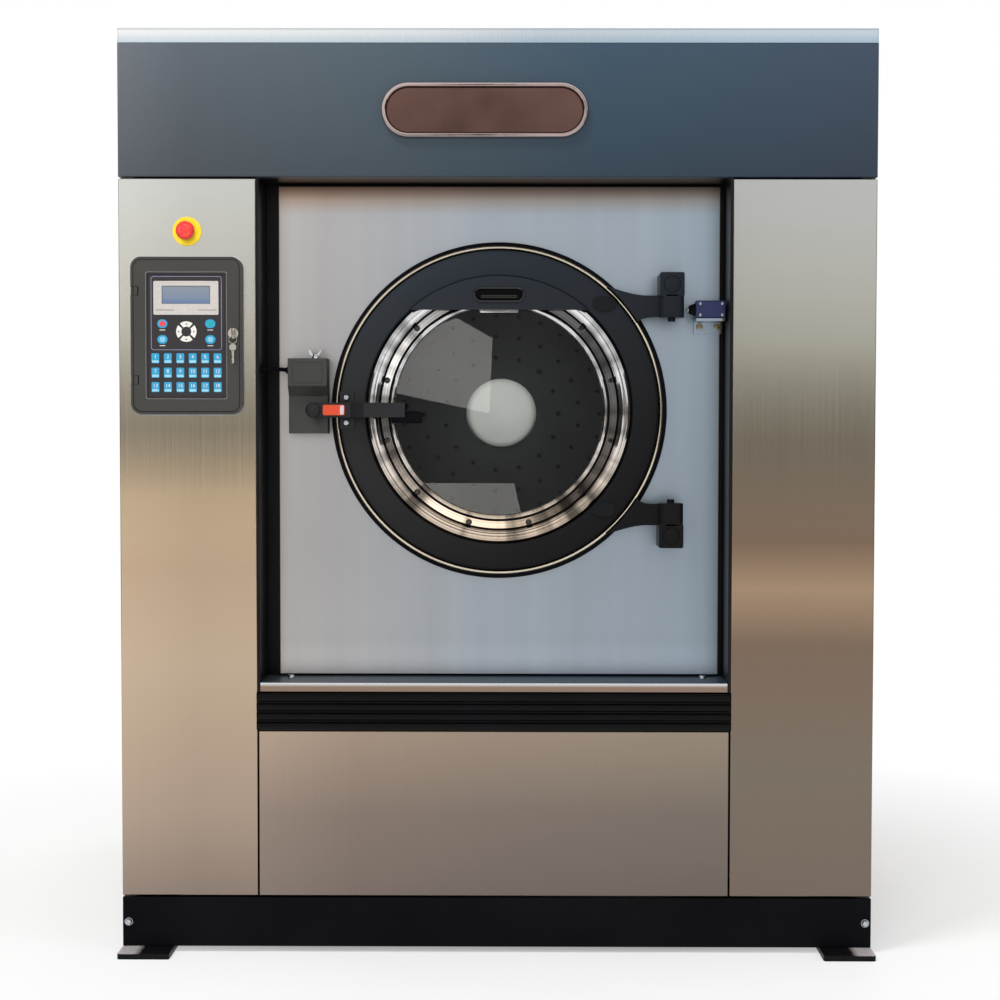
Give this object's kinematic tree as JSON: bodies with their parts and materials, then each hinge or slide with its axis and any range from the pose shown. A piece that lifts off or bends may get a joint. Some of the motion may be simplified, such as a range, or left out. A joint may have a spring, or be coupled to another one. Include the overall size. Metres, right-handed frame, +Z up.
{
  "type": "industrial washing machine",
  "caption": "Industrial front-loading washer-extractor with a recessed suspended front, round glass door, lever latch, keypad door and emergency stop",
  "frame": {"origin": "centre of the four floor anchor holes, on the floor", "axes": "+X to the right seen from the front, +Y to the back, +Z up"},
  "size_m": [1.6, 1.636, 1.959],
  "materials": {
    "brushed_steel": "fine brushed",
    "slate_paint": "satin",
    "black_paint": "satin",
    "grey_paint": "satin",
    "ring_paint": "satin",
    "pale_steel": "fine brushed",
    "polished_steel": "polished",
    "zinc_steel": "zinc plated",
    "cast_iron": "as cast",
    "alu": "machined",
    "rubber": "matte",
    "glass": "clear",
    "bezel_plastic": "fine texture",
    "keypad_film": "satin film",
    "key_print": "printed film",
    "lcd": "clear",
    "lock_plastic": "satin",
    "switch_plastic": "satin",
    "estop_yellow": "satin",
    "estop_red": "satin",
    "hub_grey": "satin",
    "brass": "turned",
    "cable_black": "matte"
  },
  "bodies": {
    "cabinet": {"air_springs": "rubber", "badge_plate": "polished_steel", "base_frame": "black_paint", "cable_gland": "bezel_plastic", "control_box": "zinc_steel", "drain_outlet": "zinc_steel", "estop_plate": "estop_yellow", "foot_plates": "black_paint", "front_sill": "pale_steel", "header_panel": "slate_paint", "inverter_box": "grey_paint", "left_front_panel": "brushed_steel", "lower_front_panel": "brushed_steel", "rear_panel": "grey_paint", "recess_lining": "black_paint", "ribbed_bumper": "rubber", "right_front_panel": "brushed_steel", "side_panels": "brushed_steel", "top_cover": "pale_steel", "water_inlets": "brass"},
    "tub_unit": {"inset_panel": "brushed_steel", "outer_tub": "brushed_steel", "tub_cradle": "grey_paint", "bearing_housing": "cast_iron", "shaft_bearings": "zinc_steel", "drive_motor": "grey_paint", "drive_belt": "rubber", "hinge_blocks": "ring_paint", "hinge_pins": "polished_steel", "lock_box": "lock_plastic", "lock_cable": "cable_black", "limit_switch": "switch_plastic", "limit_switch_bracket": "zinc_steel", "drain_valve": "lock_plastic", "water_hoses": "rubber"},
    "door": {"door_ring": "ring_paint", "door_pan": "polished_steel", "door_gasket": "rubber", "glass_clamp_ring": "polished_steel", "glass_ring_bolts": "polished_steel", "door_glass": "glass", "door_shield": "ring_paint", "hinge_arms": "ring_paint", "lever_bracket": "zinc_steel"},
    "handle": {"door_lever": "ring_paint"},
    "drum": {"drum_shell": "brushed_steel", "drum_lifters": "brushed_steel", "hub_cover": "hub_grey", "main_shaft": "zinc_steel", "drum_pulley": "cast_iron"},
    "rotor": {"motor_rotor": "cast_iron"},
    "stop_stem": {"estop_stem": "lock_plastic"},
    "stop_head": {"estop_head": "estop_red"},
    "control_door": {"control_bezel": "bezel_plastic", "keypad_plate": "keypad_film", "lcd_screen": "lcd", "keypad_keys": "key_print"},
    "key": {"cam_lock": "polished_steel"},
    "plunger": {"switch_plunger": "alu"},
    "wing_screw": {"lock_wing_screw": "zinc_steel"}
  },
  "joints": [
    {"name": "tub_float", "type": "slide", "parent": "cabinet", "child": "tub_unit", "axis": [0, 0, 1], "range_m": [-0.004, 0.004], "stiffness_N_per_m": 2000000, "springref_m": 0.00807, "deforming": ["air_springs", "water_hoses"]},
    {"name": "door_swing", "type": "hinge", "parent": "tub_unit", "child": "door", "pos_m": [0.372, -0.69, 1.159], "axis": [0, 0, 1], "range_deg": [0, 140]},
    {"name": "lever_turn", "type": "hinge", "parent": "door", "child": "handle", "pos_m": [-0.393, -0.7, 1.159], "axis": [0, -1, 0], "range_deg": [0, 90]},
    {"name": "drum_spin", "type": "hinge", "parent": "tub_unit", "child": "drum", "pos_m": [0.003, 0, 1.159], "axis": [0, 1, 0], "continuous": true},
    {"name": "motor_spin", "type": "hinge", "parent": "tub_unit", "child": "rotor", "pos_m": [0.003, 0.3, 0.291], "axis": [0, 1, 0], "continuous": true},
    {"name": "estop_press", "type": "slide", "parent": "cabinet", "child": "stop_stem", "axis": [0, 1, 0], "range_m": [0, 0.005], "stiffness_N_per_m": 1500},
    {"name": "estop_twist", "type": "hinge", "parent": "stop_stem", "child": "stop_head", "pos_m": [-0.6545, -0.77, 1.534], "axis": [0, 1, 0], "range_deg": [0, 35]},
    {"name": "control_door_swing", "type": "hinge", "parent": "cabinet", "child": "control_door", "pos_m": [-0.767, -0.7602, 1.31], "axis": [0, 0, -1], "range_deg": [0, 110]},
    {"name": "key_turn", "type": "hinge", "parent": "control_door", "child": "key", "pos_m": [-0.5555, -0.76, 1.319], "axis": [0, -1, 0], "range_deg": [0, 90]},
    {"name": "switch_press", "type": "slide", "parent": "tub_unit", "child": "plunger", "axis": [1, 0, 0], "range_m": [0, 0.004], "stiffness_N_per_m": 400},
    {"name": "wing_screw_turn", "type": "hinge", "parent": "tub_unit", "child": "wing_screw", "pos_m": [-0.393, -0.66, 1.28], "axis": [0, 0, 1], "continuous": true}
  ],
  "couplings": [
    {"joint": "motor_spin", "follows": "drum_spin", "ratio": 3.8889}
  ]
}
